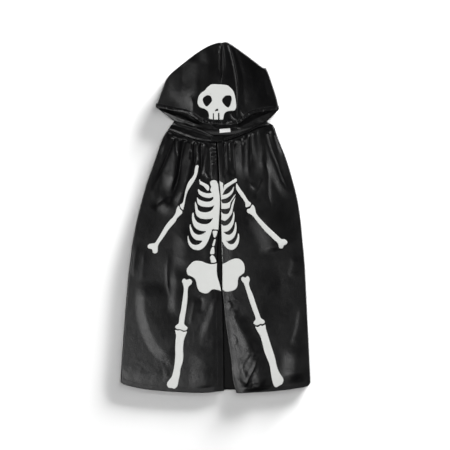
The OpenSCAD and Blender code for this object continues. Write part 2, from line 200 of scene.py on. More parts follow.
TIBIA_R = pairs(-104.2, -290.9, -97.6, -291.7, -91.4, -290.9, -83.1, -295.1, -74.4, -294.2, -75.8, -300.5,
    -80, -310.8, -83.1, -325.3, -84.1, -341.9, -83.5, -356.4, -85.1, -373, -90.3, -389.6, -92.4, -406.2,
    -95.5, -420.7, -98.6, -435.2, -103.8, -441.4, -108, -443, -113, -441, -121.5, -440, -125.8, -434,
    -124.5, -426, -120.5, -421, -113.1, -410.3, -109, -395.8, -105.9, -377.1, -104.2, -356.4, -104.2, -337.8,
    -103.4, -319.1, -102.1, -304.6)


def through(a, b, c, d):
    """Points from b towards c on a smooth curve through four points."""
    return [0.5 * (2 * b + (c - a) * f + (2 * a - 5 * b + 4 * c - d) * f**2 + (3 * b - a - 3 * c + d) * f**3)
            for f in np.linspace(0, 1, 12, endpoint=False)]


def spline(points, n):
    """n points evenly spaced along a smooth curve through the given ones."""
    p = np.array(points, float)
    p = np.vstack([2 * p[0] - p[1], p, 2 * p[-1] - p[-2]])
    line = [q for k in range(len(p) - 3) for q in through(*p[k:k + 4])]
    return evenly(np.array(line + [p[-2]]), n)


def closed(points, step=1.5):
    """A smooth closed outline through points."""
    p = np.array(points, float)
    n = len(p)
    line = np.array([q for k in range(n) for q in through(*p[[k - 1, k, (k + 1) % n, (k + 2) % n]])])
    return evenly(np.vstack([line, line[:1]]), max(12, int(length_of(line) / step)))[:-1]


def length_of(line):
    """Length of a polyline."""
    return np.linalg.norm(np.diff(line, axis=0), axis=1).sum()


def evenly(p, n):
    """n points evenly spaced along a polyline."""
    far = np.concatenate([[0], np.cumsum(np.linalg.norm(np.diff(p, axis=0), axis=1))])
    at = np.linspace(0, far[-1], n)
    return np.stack([np.interp(at, far, p[:, k]) for k in range(p.shape[1])], 1)


def coons(top, bottom, first, last, ns, nt):
    """A grid of points between four curves: top and bottom run along s, first and last run along t."""
    c0, c1, d0, d1 = spline(top, ns), spline(bottom, ns), spline(first, nt), spline(last, nt)
    s = np.linspace(0, 1, ns)[None, :, None]
    t = np.linspace(0, 1, nt)[:, None, None]
    between = (1 - t) * c0[None] + t * c1[None] + (1 - s) * d0[:, None] + s * d1[:, None]
    corners = (1 - t) * ((1 - s) * c0[0] + s * c0[-1]) + t * ((1 - s) * c1[0] + s * c1[-1])
    return between - corners


# ---------------------------------------------------------------- heights

def fade(d, width):
    """0 at d = 0, rising smoothly to 1 at width."""
    f = np.clip(d / width, 0, 1)
    return f * f * (3 - 2 * f)


def roll(d, radius):
    """A quarter-round edge: 0 at d = 0, 1 from radius on."""
    f = 1 - np.clip(d / radius, 0, 1)
    return np.sqrt(1 - f * f)


def noise(x, y, size, seed, stretch=1.0):
    """Smooth noise from -1 to 1 with features of about size, longer along y by stretch."""
    grid = np.random.RandomState(seed).uniform(-1, 1, (64, 64))
    u, v = x / size + 31.7, y / (size * stretch) + 17.3
    i, j = np.floor(u).astype(int), np.floor(v).astype(int)
    fu, fv = u - i, v - j
    fu, fv = (f**3 * (f * (f * 6 - 15) + 10) for f in (fu, fv))
    i, j, i1, j1 = i % 64, j % 64, (i + 1) % 64, (j + 1) % 64
    low = grid[i, j] * (1 - fu) + grid[i1, j] * fu
    high = grid[i, j1] * (1 - fu) + grid[i1, j1] * fu
    return low * (1 - fv) + high * fv


def creases(x, y, size, seed, stretch=1.0, turn=0.0):
    """Crumpled cloth: sharp crests along the zero lines of warped noise, from 0 to 1."""
    c, s = math.cos(turn), math.sin(turn)
    x, y = c * x - s * y, s * x + c * y
    wx = x + 0.5 * size * noise(x, y, size * 1.4, seed + 1)
    wy = y + 0.5 * size * noise(x, y, size * 1.4, seed + 2)
    n = noise(wx, wy, size, seed, stretch)
    return 1 - np.sqrt(n * n + 0.004)


def facets(x, y, size, seed):
    """Crumpled cloth: flat facets that meet in sharp creases, from 0 to 1."""
    total = 0
    for k, (turn, pitch) in enumerate(((0.6, 1.0), (1.7, 1.4), (2.7, 0.8))):
        u = (math.cos(turn) * x + math.sin(turn) * y) / (size * pitch)
        u = u + 0.7 * noise(x, y, size * 1.6, seed + k)
        total = total + np.abs(u % 1 * 2 - 1)
    return total / 3


def beside(x, y, line):
    """Distance from a polyline, the same signed by side, and the share of the polyline passed."""
    parts = len(line) - 1
    best = np.full(x.shape, 1e9)
    signed = np.zeros(x.shape)
    share = np.zeros(x.shape)
    for k in range(parts):
        a, e = line[k], line[k + 1] - line[k]
        f = np.clip(((x - a[0]) * e[0] + (y - a[1]) * e[1]) / (e @ e), 0, 1)
        dx, dy = x - a[0] - f * e[0], y - a[1] - f * e[1]
        d = np.hypot(dx, dy)
        closer = d < best
        best = np.where(closer, d, best)
        signed = np.where(closer, np.sign(e[0] * dy - e[1] * dx) * d, signed)
        share = np.where(closer, (k + f) / parts, share)
    return best, signed, share


def nearest(x, y, points, n=28):
    """Distance from a smooth curve through the points, signed by side, and the share of its length passed."""
    return beside(x, y, spline(points, n))[1:]


def fold(x, y, height, left, right, start, end, *points):
    """A ridge, or with a negative height a valley, along a curve; left and right are its widths on each side,
    and start and end the shares of its length over which it rises and dies away."""
    d, f = nearest(x, y, pairs(*points))
    width = np.where(d > 0, left, right)
    rise = fade(f, start) * fade(1 - f, end)
    return height * rise * np.exp(-(np.hypot(d / width, 0.12) ** 1.35))


def bank(x, y, height, width, back, start, end, *points):
    """Cloth that climbs to a curve over width on the curve's right side and eases down again over back on its
    left; start and end are the shares of its length over which it rises and dies away."""
    d, f = nearest(x, y, pairs(*points))
    climb = np.where(d < 0, fade(width + d, width), np.exp(-((d / back) ** 2)))
    return height * climb * fade(f, start) * fade(1 - f, end)


# Folds: height, widths to the left and to the right of the curve, start, end, then the curve's x, y, x, y and
# so on. Banks: height, width, back, start, end, then the curve. All lengths are in mm.
FOLDS_R = [
    # gathers below the neckband
    (-4.4, 4, 3, 0.03, 0.4, -105, 210, -115, 187, -123, 167, -131, 148, -139, 130, -152, 105, -168, 68),
    (-1.5, 2.4, 2, 0.05, 0.15, -103, 210, -103, 190, -102, 172, -98, 165, -92, 171),
    (-5.4, 5, 5, 0.02, 0.35, -79, 203, -84, 185, -88, 168, -91, 150, -93, 130, -96, 110, -102, 88, -112, 60,
     -126, 25),
    (-5.8, 3.4, 3, 0.03, 0.4, -54, 197, -55, 180, -54, 160, -57, 135, -59, 112),
    (-5.8, 3.8, 3.2, 0.03, 0.4, -37, 194, -37, 165, -36, 150, -39, 120, -46, 95),
    (-1.5, 3, 3, 0.3, 0.3, -63, 180, -64, 165, -65, 150),
    (1.4, 3, 3, 0.2, 0.2, -27, 122, -21, 109, -14, 108, -8, 125, -6, 141),
    # puckers at the closed edge
    (2.0, 2, 2, 0.15, 0.25, 2, 188, -6, 190, -13, 194),
    (2.0, 2, 2, 0.15, 0.25, 2, 178, -6, 179, -14, 183),
    (2.0, 2, 2, 0.15, 0.25, 2, 169, -6, 170, -14, 172),
    (-2.6, 3, 3, 0.1, 0.25, 2, 161, -6, 161, -12, 162),
    (2.0, 2, 2, 0.15, 0.25, 2, 151, -6, 150, -13, 152),
    (1.8, 2, 2, 0.15, 0.25, 2, 143, -5, 142, -11, 143),
    # long soft folds
    (-2.0, 8, 8, 0.25, 0.3, -110, 62, -128, 52, -150, 38, -166, 22),
    (1.0, 6, 5, 0.3, 0.3, -121, -90, -125, -130, -124, -170, -116, -215),
    (1.2, 8, 8, 0.3, 0.3, -52, -205, -58, -240, -66, -280),
    (-1.4, 8, 8, 0.3, 0.3, -40, -200, -36, -225, -42, -250),
    (0.8, 10, 8, 0.3, 0.3, -200, -60, -210, -110, -212, -160),
    (0.8, 10, 8, 0.3, 0.3, -182, -80, -188, -130, -190, -170),
]

BANKS_R = [
    (6.4, 34, 5, 0.03, 0.35, -92, 206, -96, 180, -99, 150, -103, 120, -112, 85, -120, 62),
    (5.8, 25, 7, 0.03, 0.3, -60, 201, -62, 170, -64, 140, -72, 110, -82, 75, -96, 40, -108, 15),
    (2.2, 8, 3, 0.03, 0.3, -43, 197, -44, 170, -42, 145),
    (3.2, 12, 7, 0.03, 0.3, -16, 194, -22, 165, -27, 140, -32, 110),
    (2.0, 14, 6, 0.05, 0.5, -118, 222, -128, 195, -145, 160),
    (2.6, 30, 16, 0.45, 0.45, -152, 52, -136, 44, -120, 28, -110, 4),
    (2.2, 34, 26, 0.35, 0.3, -82, -20, -78, -80, -84, -140),
    (2.8, 24, 30, 0.35, 0.3, -97, -115, -98, -150, -100, -190, -102, -225, -106, -262),
    (3.4, 30, 60, 0.2, 0.15, -181, -160, -180, -200, -180, -235, -174, -268, -160, -305, -143, -334,
     -120, -352, -98, -362),
    (2.6, 18, 12, 0.05, 0.4, 22, -180, 8, -215, -4, -246, -20, -282, -36, -330),
    (2.0, 44, 20, 0.4, 0.1, -22, -330, -30, -380, -26, -445),
    (1.2, 18, 12, 0.3, 0.1, 16, -300, 14, -360, 14, -445),
]

FOLDS_L = [
    # gathers below the neckband
    (-5.0, 3, 2.6, 0.03, 0.35, 23, 197, 23.5, 170, 24.5, 150, 25, 125, 24, 100),
    (-6.4, 2.8, 12, 0.03, 0.3, 50, 198, 46, 182, 47, 160, 49, 135, 51, 105),
    (2.6, 2.2, 2.2, 0.05, 0.4, 30, 198, 29, 180, 27, 163),
    (3.0, 2.4, 2.4, 0.05, 0.4, 37, 198, 38.5, 178, 40, 150, 43, 136),
    (2.0, 2, 2, 0.05, 0.4, 45, 202, 43, 190, 41, 180),
    (-1.8, 3, 3, 0.05, 0.4, 72, 212, 72, 200, 75, 188),
    (-2.4, 5, 6, 0.03, 0.4, 93, 220, 93, 200, 95, 165, 98, 135),
    (-2.4, 9, 5, 0.04, 0.3, 136, 225, 148, 178, 162, 142, 172, 112, 184, 84, 198, 66),
    # long soft folds
    (-2.2, 4, 4, 0.3, 0.3, 124, 168, 130, 142, 137, 115, 137, 80, 139, 50, 147, 22),
    (1.6, 4, 4, 0.3, 0.3, 88, 92, 97, 82, 107, 75, 114, 86, 121, 102),
    (-1.6, 5, 5, 0.3, 0.35, 121, 98, 113, 78, 105, 58, 104, 44),
    (-1.0, 20, 20, 0.3, 0.3, 155, -110, 168, -180, 164, -250),
    # crumples beside the opening
    (2.0, 4, 14, 0.35, 0.35, 30, -212, 39, -224, 41, -238),
    (1.7, 4, 9, 0.35, 0.35, 58, -238, 51, -254, 43, -268),
    (1.2, 3, 6, 0.3, 0.3, 37, -250, 33, -258, 27, -268),
    (1.4, 4, 7, 0.3, 0.3, 44, -300, 54, -318, 46, -334),
    (1.8, 3, 4, 0.15, 0.1, 113, -357, 97, -395, 75, -440),
    (0.8, 5, 14, 0.2, 0.2, 126, -368, 118, -392, 98, -408),
    (0.8, 5, 14, 0.2, 0.1, 132, -400, 124, -424, 104, -446),
]

BANKS_L = [
    (2.6, 16, 8, 0.03, 0.4, 66, 206, 68, 170, 70, 130, 72, 95),
    (4.0, 14, 5, 0.03, 0.3, 84, 217, 84, 190, 84, 160, 85, 130, 86, 98),
    (3.0, 24, 6, 0.4, 0.4, 119, 215, 122, 175, 125, 140, 122, 100),
    (2.7, 22, 12, 0.15, 0.25, 126, 233, 131, 200, 138, 180, 145, 162, 154, 138, 164, 112, 174, 88, 186, 68,
     203, 54),
    (2.2, 12, 8, 0.1, 0.4, 160, 224, 170, 190, 182, 155),
    (4.6, 48, 40, 0.35, 0.16, 116, 36, 134, -12, 148, -52, 158, -92),
    (1.1, 13, 12, 0.3, 0.3, 206, -98, 201, -130, 194, -158),
    (1.3, 11, 14, 0.3, 0.2, 224, -225, 218, -262, 212, -295, 199, -334),
    (5.4, 42, 28, 0.4, 0.35, 200, -316, 209, -350, 208, -390, 192, -440),
    (3.6, 26, 18, 0.25, 0.15, 52, -250, 64, -284, 79, -312, 90, -340, 94, -366),
    (1.2, 18, 10, 0.35, 0.35, 58, -362, 68, -384, 58, -400),
    (1.4, 26, 10, 0.35, 0.3, 58, -394, 78, -412, 84, -442),
    (6.0, 66, 24, 0.35, 0.1, 84, -312, 98, -350, 110, -400, 118, -450),
]

FOLDS_HOOD = [
    (3.2, 3.0, 4, 0.05, 0.4, 15, 452, 20, 425, 22.4, 384, 14, 349, 10, 330),
    (2.1, 3, 2.2, 0.05, 0.1, 30, 452, 37, 440, 52.5, 373, 58.5, 312, 57, 250),
    (-1.2, 8, 12, 0.1, 0.2, 44, 448, 66, 380, 74, 310, 76, 262),
    (-1.8, 2.2, 2.2, 0.2, 0.3, 6, 440, 7.5, 400, 7, 365),
    (-0.8, 6, 8, 0.2, 0.3, -75, 412, -84, 370, -88, 330),
    (0.9, 10, 14, 0.2, 0.3, 92, 410, 98, 350, 110, 300),
    (-0.9, 8, 8, 0.2, 0.3, 122, 384, 128, 340, 138, 300),
    (1.7, 4, 5, 0.1, 0.4, 62, 250, 46, 262, 38, 280),
    (1.5, 3, 4, 0.1, 0.3, 30, 252, 42, 246, 56, 250),
    (1.5, 4, 6, 0.1, 0.4, 78, 262, 66, 280, 64, 300),
    (1.4, 5, 7, 0.1, 0.4, -60, 268, -58, 290, -66, 320),
]

BANKS_HOOD = [
    (9.5, 54, 26, 0.25, 0.5, -36, 450, -44, 405, -48, 350, -54, 300, -66, 236),
    (1.6, 26, 12, 0.3, 0.3, -92, 400, -98, 350, -104, 300),
]

FOLDS_INNER = [
    (3.2, 4, 7, 0.2, 0.2, -140, 279, -104, 264, -66, 250, -30, 236),
    (-1.0, 4, 4, 0.2, 0.2, -90, 250, -50, 240, -12, 226),
    (2.6, 6, 4, 0.2, 0.2, 150, 276, 110, 260, 72, 240, 45, 228),
]


def drape(x, y, folds, banks):
    """Height of all the folds and banks of a panel together."""
    return sum(fold(x, y, *one) for one in folds) + sum(bank(x, y, *one) for one in banks)


def front_height(x, y, side, edge, hem, seam, folds, banks, crumple, seed):
    """Height of a front's upper face over the floor; crumple says how crumpled it is, from 0 to 1."""
    to_side, to_edge, to_hem, to_seam = (np.abs(nearest(x, y, c, 40)[0]) for c in (side, edge, hem, seam))
    # loft, fuller over the chest, with broad and fine unevenness
    z = 6.4 + 2.2 * fade(180 - y, 260)
    z += 1.3 * np.exp(-(((y - 155) / 45) ** 2))
    z += 0.5 * noise(x, y, 85, seed, 1.4)
    z += 0.12 * noise(x + 0.3 * y, y, 34, seed + 5, 3)
    # pleats that fan out below the neckband
    fan = 10 + (x - 10) / (1 + np.clip(205 - y, 0, 400) * 0.0016)
    pleats = noise(fan, y, 8, seed + 17, 14) + 0.7 * noise(fan, y, 15, seed + 18, 8)
    z += (0.9 * np.exp(-to_seam / 30) + 0.3 * np.exp(-to_seam / 110)) * pleats * fade(to_seam, 16)
    z += crumple * (4.2 * facets(x, y, 34, seed + 11) + 1.6 * facets(x, y, 15, seed + 14) - 2.4)
    z += 0.06 * noise(x, y, 7, seed + 13, 1.5)
    z += drape(x, y, folds, banks) * (0.15 + 0.85 * fade(to_seam, 13))
    # the facing under the front edge lifts a strip
    z += fade(FACING + 0.5 - to_edge, 2.5) * (0.25 + 0.75 * fade(y - 20, 60))
    # the cloth lies lower at its edge and its hem, which is turned up once more
    z = 4.0 + (z - 4.0) * np.maximum(0.35 + 0.65 * fade(to_edge, 30), fade(y - 70, 50))
    z = 3.4 + (z - 3.4) * (0.55 + 0.45 * fade(to_hem, 45)) + 0.2 * fade(HEM + 1 - to_hem, 2)
    z = LAYERS_BELOW + np.logaddexp(0, (z - LAYERS_BELOW) * 1.5) / 1.5
    z -= 0.6 * np.exp(-((to_seam / 4.0) ** 2))
    z = 3.2 + (z - 3.2) * (0.75 + 0.25 * fade(to_edge, 2.2))
    return 0.8 + (z - 0.8) * roll(to_side, 3.5)


def hood_height(x, y):
    """Height of the hood's upper layer over the floor."""
    to_crown = beside(x, y, np.vstack([spline(CROWN_R, 40), spline(CROWN_L, 40)[1:]]))[0]
    z = 10.5 + 0.04 * (y - 290) + 1.2 * fade(to_crown, 110) + 0.35 * noise(x, y, 70, 301, 1.5)
    # fuller above the face opening
    z += 1.8 * np.exp(-(((y - 248) / 34) ** 2)) * fade(150 - np.abs(x - 10), 110)
    z += drape(x, y, FOLDS_HOOD, BANKS_HOOD)
    z += 0.3 * noise(x, y, 26, 311, 1.4)
    z += 0.06 * noise(x, y, 7, 313)
    # the seam from the peak to the forehead is a groove
    off_seam = x - 12 - (y - 242) * 0.0188
    z -= 0.8 * np.exp(-((off_seam / 1.3) ** 2)) * fade(y - 348, 20)
    return 1.4 + (z - 1.4) * roll(to_crown, 4)


def inner_hood_height(x, y):
    """Height of the hood's lower layer, whose inner side shows in the face opening."""
    z = 1.6 + 0.5 * noise(x, y, 40, 331)
    z += drape(x, y, FOLDS_INNER, [])
    z += 0.8 * creases(x, y, 24, 333, 0.5, 0.3) ** 3
    return np.clip(z, 0.9, 5.5)


def back_height(x, y):
    """Height of the back panel's inner side over the floor."""
    z = 1.3 + 0.35 * noise(x, y, 90, 341) + 0.5 * creases(x, y, 110, 343, 2.0) ** 3
    return np.clip(z, 0.7, 2.4)


# ---------------------------------------------------------------- meshes

def make(name, points, faces, material, uv=None, thick=0.0):
    """A mesh object from points in mm; thick is the cloth's thickness in mm, which lies behind its faces."""
    mesh = bpy.data.meshes.new(name)
    mesh.from_pydata((np.asarray(points, float) * MM).tolist(), [], faces)
    if uv is not None:
        layer = mesh.uv_layers.new(name="cloth")
        index = np.empty(len(mesh.loops), int)
        mesh.loops.foreach_get("vertex_index", index)
        layer.data.foreach_set("uv", (np.asarray(uv)[index] * MM).astype(np.float32).ravel())
    mesh.polygons.foreach_set("use_smooth", [True] * len(mesh.polygons))
    mesh.update()
    mesh.validate()
    piece = bpy.data.objects.new(name, mesh)
    bpy.context.scene.collection.objects.link(piece)
    mesh.materials.append(material)
    if thick:
        shell = piece.modifiers.new("cloth", "SOLIDIFY")
        shell.thickness = thick * MM
        shell.offset = -1
    return piece


def grid_faces(ns, nt, up):
    """Quads of a grid with ns points in a row and nt rows, wound one way or the other."""
    quads = []
    for j in range(nt - 1):
        for i in range(ns - 1):
            a = j * ns + i
            q = (a, a + ns, a + ns + 1, a + 1)
            quads.append(q if up else q[::-1])
    return quads


def sheet_of(name, grid, height, material, thick=CLOTH):
    """A sheet over a grid of xy points, raised to height(x, y); faces point up."""
    nt, ns = grid.shape[:2]
    x, y = grid[..., 0], grid[..., 1]
    z = height(x, y)
    points = np.stack([x, y, z], -1).reshape(-1, 3)
    i, j = ns // 2, nt // 2
    (ax, ay), (bx, by) = grid[j, i + 1] - grid[j, i], grid[j + 1, i] - grid[j, i]
    du, dv = (np.linalg.norm(np.diff(grid, axis=k), axis=-1).mean() for k in (1, 0))
    u, v = np.meshgrid(np.arange(ns) * du, np.arange(nt) * dv)
    uv = np.stack([u, v], -1).reshape(-1, 2)
    return make(name, points, grid_faces(ns, nt, ax * by - ay * bx < 0), material, uv, thick)


def tree(*sheets):
    """A tree to find the height of sheets by rays from above."""
    verts, faces = [], []
    for piece in sheets:
        first = len(verts)
        verts += [v.co.copy() for v in piece.data.vertices]
        faces += [[first + i for i in p.vertices] for p in piece.data.polygons]
    return BVHTree.FromPolygons(verts, faces)


def drop(field, x, y):
    """Heights in mm of the sheet under each xy point, in mm."""
    z = np.empty(len(x))
    last = 6.0  # a likely height, for a point beside the sheet before any on it
    for k, (px, py) in enumerate(zip(x, y)):
        hit = field.ray_cast(Vector((px * MM, py * MM, RAY_TOP)), Vector((0, 0, -1)))[0]
        if hit is None:
            hit = field.find_nearest(Vector((px * MM, py * MM, last * MM)))[0]
        last = hit.z / MM
        z[k] = last
    return z


def inside(x, y, polygon):
    """Which points lie inside a closed polygon."""
    p = np.asarray(polygon)
    within = np.zeros(len(x), bool)
    for (x0, y0), (x1, y1) in zip(p, np.roll(p, -1, axis=0)):
        if y0 == y1:
            continue
        crosses = ((y0 > y) != (y1 > y)) & (x < (x1 - x0) * (y - y0) / (y1 - y0) + x0)
        within ^= crosses
    return within


def film(name, outlines, holes, field, lift=0.5, step=1.8):
    """A printed film: overlapping outlines less holes, filled with a fine mesh and laid on the cloth."""
    points, edges = [], []
    for ring in outlines + holes:
        first = len(points)
        points += ring.tolist()
        edges += [(first + i, first + (i + 1) % len(ring)) for i in range(len(ring))]
    rim = np.array(points)
    low, high = rim.min(0), rim.max(0)
    # inner points on a triangular grid, apart from the ones close to an outline
    gx, gy = np.meshgrid(np.arange(low[0], high[0], step), np.arange(low[1], high[1], step * 0.87))
    gx[1::2] += step / 2
    gx, gy = gx.ravel(), gy.ravel()
    keep = np.any([inside(gx, gy, ring) for ring in outlines], axis=0)
    gx, gy = gx[keep], gy[keep]
    near = np.array([np.min(np.hypot(rim[:, 0] - px, rim[:, 1] - py)) for px, py in zip(gx, gy)])
    points += np.column_stack([gx, gy])[near > step * 0.5].tolist()
    out = delaunay_2d_cdt([Vector(p) for p in points], edges, [], 0, 1e-4)
    xy = np.array([tuple(v) for v in out[0]])
    triangles = np.array([t for t in out[2] if len(t) == 3])
    a, b, c = xy[triangles[:, 0]], xy[triangles[:, 1]], xy[triangles[:, 2]]
    turn = (b[:, 0] - a[:, 0]) * (c[:, 1] - a[:, 1]) - (b[:, 1] - a[:, 1]) * (c[:, 0] - a[:, 0])
    triangles[turn < 0] = triangles[turn < 0][:, ::-1]
    mx, my = ((a + b + c) / 3).T
    keep = np.any([inside(mx, my, ring) for ring in outlines], axis=0) & (np.abs(turn) > 1e-6)
    for ring in holes:
        keep &= ~inside(mx, my, ring)
    triangles = triangles[keep]
    used = np.unique(triangles)
    place = np.zeros(len(xy), int)
    place[used] = np.arange(len(used))
    xy = xy[used]
    z = drop(field, xy[:, 0], xy[:, 1]) + lift
    return make(name, np.column_stack([xy, z]), place[triangles].tolist(), PRINT, xy, CLOTH)


def stitches(name, path, field, length=2.8, pitch=4.2, radius=0.28, lift=0.15, sides=6, samples=400):
    """A row of stitches along a path on the cloth."""
    line = evenly(np.asarray(path, float), samples)
    count = int(length_of(line) / pitch)
    # shares of the length, and of the radius there
    profile = [(0, 0.25), (0.18, 0.9), (0.5, 1.0), (0.82, 0.9), (1, 0.25)]
    along = [k + f * length / pitch for k in range(count) for f, thick in profile]
    at = np.array(along) / count * (samples - 1)
    x, y = (np.interp(at, np.arange(samples), line[:, k]) for k in (0, 1))
    z = drop(field, x, y) + lift
    verts, faces = [], []
    for row in np.column_stack([x, y, z]).reshape(count, len(profile), 3):
        way = row[-1] - row[0]
        way /= np.linalg.norm(way) + 1e-9
        across = np.cross(way, (0, 0, 1))
        above = np.cross(across, way)
        first = len(verts)
        for c, (f, thick) in zip(row, profile):
            for k in range(sides):
                a = 2 * math.pi * k / sides
                verts.append(c + radius * thick * (math.cos(a) * across + math.sin(a) * above))
        last = first + (len(profile) - 1) * sides
        for ring in range(first, last, sides):
            for k in range(sides):
                a, b = ring + k, ring + (k + 1) % sides
                faces.append((a, b, b + sides, a + sides))
        faces.append(tuple(first + k for k in reversed(range(sides))))
        faces.append(tuple(last + k for k in range(sides)))
    return make(name, np.array(verts), faces, THREAD)


def normals(line):
    """Unit vectors to the left of a polyline, one for each point."""
    way = np.gradient(line, axis=0)
    way /= np.linalg.norm(way, axis=1)[:, None]
    return np.column_stack([-way[:, 1], way[:, 0]])


def offset_path(points, distance, n=120, trim=(0.0, 1.0)):
    """A curve through points, moved to its left by a distance and trimmed to the part between two shares."""
    line = spline(points, n)
    return (line + distance * normals(line))[int(trim[0] * n):int(trim[1] * n)]


def ruled(one, other, ns, nt):
    """A grid between two curves that run the same way."""
    a, b = spline(one, ns), spline(other, ns)
    t = np.linspace(0, 1, nt)[:, None, None]
    return (1 - t) * a[None] + t * b[None]


def rectangle(x0, x1, y0, y1, ns, nt):
    """A grid over a rectangle."""
    return np.stack(np.meshgrid(np.linspace(x0, x1, ns), np.linspace(y0, y1, nt)), -1)


# ---------------------------------------------------------------- materials

class Nodes:
    """A short way to build a material's nodes."""

    def __init__(self, name, **values):
        self.material = bpy.data.materials.new(name)
        self.material.use_nodes = True
        self.tree = self.material.node_tree
        self.shader = self.tree.nodes["Principled BSDF"]
        for key, value in values.items():
            self.shader.inputs[key.replace("_", " ")].default_value = value

    def add(self, kind, **settings):
        node = self.tree.nodes.new(kind)
        for key, value in settings.items():
            if hasattr(node, key):
                setattr(node, key, value)
            else:
                node.inputs[key.replace("_", " ")].default_value = value
        return node

    def link(self, a, b):
        self.tree.links.new(a, b)

    def where(self, output="UV"):
        """Texture coordinates; the UV map is in metres along the cloth."""
        return self.add("ShaderNodeTexCoord").outputs[output]

    def surface(self, colour, roughness, normal):
        """Links the shader's inputs and gives the finished material."""
        for source, name in ((colour, "Base Color"), (roughness, "Roughness"), (normal, "Normal")):
            self.link(source, self.shader.inputs[name])
        return self.material

    def ramp(self, source, low, high, start=0.0, end=1.0):
        node = self.add("ShaderNodeMapRange")
        for key, value in (("From Min", start), ("From Max", end), ("To Min", low), ("To Max", high)):
            node.inputs[key].default_value = value
        self.link(source, node.inputs["Value"])
        return node.outputs["Result"]

    def mix(self, factor, a, b):
        node = self.add("ShaderNodeMix", data_type="RGBA")
        node.inputs["A"].default_value = (*a, 1)
        node.inputs["B"].default_value = (*b, 1)
        self.link(factor, node.inputs["Factor"])
        return node.outputs["Result"]

    def bump(self, height, distance, strength=1.0, under=None):
        node = self.add("ShaderNodeBump")
        node.inputs["Strength"].default_value = strength
        node.inputs["Distance"].default_value = distance
        self.link(height, node.inputs["Height"])
        if under:
            self.link(under, node.inputs["Normal"])
        return node.outputs["Normal"]

    def texture(self, kind, coordinates, scale, turn=0.0, stretch=(1, 1, 1), **settings):
        spin = self.add("ShaderNodeMapping")
        spin.inputs["Rotation"].default_value = (0, 0, turn)
        spin.inputs["Scale"].default_value = stretch
        self.link(coordinates, spin.inputs["Vector"])
        node = self.add(kind, Scale=scale, **settings)
        self.link(spin.outputs["Vector"], node.inputs["Vector"])
        return node.outputs["Fac"]


def satin(name, dark, light, roughness, gloss=0.3):
    """Black polyester satin: long floats that shine along the cloth, slubs and faint crush marks."""
    n = Nodes(name, Specular_IOR_Level=gloss, Anisotropic=0.4)
    along = n.add("ShaderNodeTangent", direction_type="UV_MAP", uv_map="cloth")
    n.link(along.outputs["Tangent"], n.shader.inputs["Tangent"])
    where = n.where()
    cloud = n.texture("ShaderNodeTexNoise", where, 16, Detail=4.0, Roughness=0.6)
    slub = n.texture("ShaderNodeTexNoise", where, 900, stretch=(1, 0.06, 1), Detail=2.0)
    floats = n.texture("ShaderNodeTexWave", where, 700, turn=0.46, Distortion=1.5, Detail=1.0)
    crush = n.texture("ShaderNodeTexNoise", where, 300, Detail=2.0, Roughness=0.5)
    slubs = n.bump(slub, 0.00006, 0.3, n.bump(floats, 0.00004, 0.3))
    return n.surface(n.mix(cloud, dark, light), n.ramp(cloud, roughness - 0.05, roughness + 0.06, 0.3, 0.7),
                     n.bump(crush, 0.0004, 0.5, slubs))


def print_film():
    """Matt off-white screen print with fine crazing all over."""
    n = Nodes("print film", Specular_IOR_Level=0.35, Sheen_Weight=0.05)
    where = n.where()
    cloud = n.texture("ShaderNodeTexNoise", where, 60, Detail=3.0)
    grain = n.texture("ShaderNodeTexNoise", where, 1400, Detail=2.0)
    craze = n.add("ShaderNodeTexVoronoi", feature="DISTANCE_TO_EDGE", Scale=330.0)
    n.link(where, craze.inputs["Vector"])
    lines = n.ramp(craze.outputs["Distance"], 0.0, 1.0, 0.0, 0.06)
    return n.surface(n.mix(cloud, (0.70, 0.71, 0.69), (0.75, 0.76, 0.74)), n.ramp(grain, 0.5, 0.66),
                     n.bump(grain, 0.00008, 0.5, n.bump(lines, 0.00006, 0.3)))


def woven(name, dark, light, scale, depth, roughness=0.7):
    """Plain woven tape, from two crossed sets of threads."""
    n = Nodes(name, Specular_IOR_Level=0.4)
    where = n.where()
    cross = n.add("ShaderNodeMath", operation="MULTIPLY")
    for k, turn in enumerate((0.0, math.pi / 2)):
        n.link(n.texture("ShaderNodeTexWave", where, scale, turn=turn, Distortion=0.4), cross.inputs[k])
    cloud = n.texture("ShaderNodeTexNoise", where, 120, Detail=3.0)
    return n.surface(n.mix(cloud, dark, light), n.ramp(cloud, roughness - 0.05, roughness + 0.05),
                     n.bump(cross.outputs["Value"], depth, 0.8))


def hooks():
    """Black hook-and-loop tape: a fine field of tufts."""
    n = Nodes("hook and loop", Sheen_Weight=0.4, Sheen_Roughness=0.5)
    where = n.where()
    tufts = n.add("ShaderNodeTexVoronoi", Scale=1500.0)
    n.link(where, tufts.inputs["Vector"])
    cloud = n.texture("ShaderNodeTexNoise", where, 500, Detail=3.0)
    return n.surface(n.mix(cloud, (0.012, 0.012, 0.013), (0.035, 0.035, 0.037)), n.ramp(cloud, 0.7, 0.9),
                     n.bump(tufts.outputs["Distance"], 0.0004))


def thread():
    """Twisted black sewing thread."""
    n = Nodes("thread", Specular_IOR_Level=0.5)
    twist = n.texture("ShaderNodeTexWave", n.where("Object"), 1800, turn=0.7, Distortion=1.0)
    return n.surface(n.mix(twist, (0.010, 0.010, 0.011), (0.035, 0.035, 0.038)), n.ramp(twist, 0.4, 0.55),
                     n.bump(twist, 0.0001, 0.6))


SATIN = satin("satin", (0.0014, 0.0014, 0.0016), (0.0024, 0.0024, 0.0027), roughness=0.33)
SATIN_BACK = satin("satin wrong side", (0.0012, 0.0012, 0.0013), (0.0020, 0.0020, 0.0022), roughness=0.5,
                   gloss=0.1)
PRINT = print_film()
LABEL = woven("label", (0.9, 0.9, 0.89), (0.95, 0.95, 0.94), scale=1000, depth=0.00015)
BINDING = woven("binding", (0.012, 0.012, 0.012), (0.025, 0.025, 0.026), scale=700, depth=0.0002)
HOOKS = hooks()
THREAD = thread()


